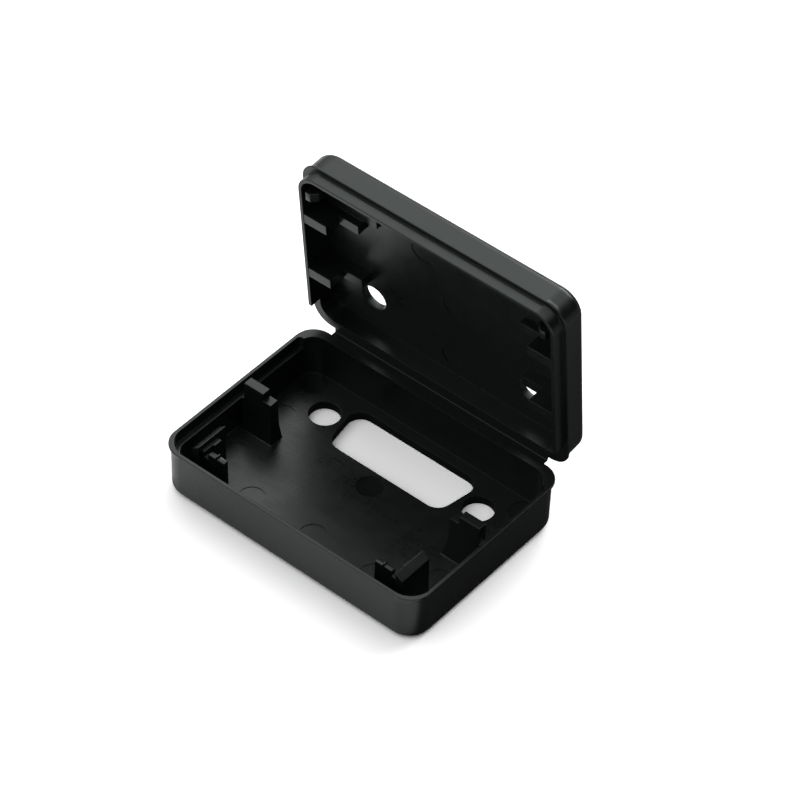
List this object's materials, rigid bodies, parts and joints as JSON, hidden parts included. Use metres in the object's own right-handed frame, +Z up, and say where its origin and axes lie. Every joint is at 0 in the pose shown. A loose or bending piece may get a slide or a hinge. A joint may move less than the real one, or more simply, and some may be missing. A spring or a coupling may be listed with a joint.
{
  "type": "clamshell connector housing",
  "caption": "Small black moulded clamshell housing with a living hinge, a D-shaped connector window, jackscrew holes and board posts.",
  "frame": {"origin": "middle of the base's flat underside", "axes": "+X along the hinge, +Y from the open front edge towards the hinge, +Z up out of the base's mouth, drawn with the lid standing open at 83.8 degrees from closed"},
  "size_m": [0.041, 0.033, 0.0369],
  "materials": {
    "shell": "fine satin, black"
  },
  "bodies": {
    "base": {"base": "shell"},
    "lid": {"lid": "shell"}
  },
  "joints": [
    {"name": "lid_hinge", "type": "hinge", "parent": "base", "child": "lid", "pos_m": [0, 0.01505, 0.0075], "axis": [-1, 0, 0], "range_deg": [-83.8, 96.2]}
  ]
}
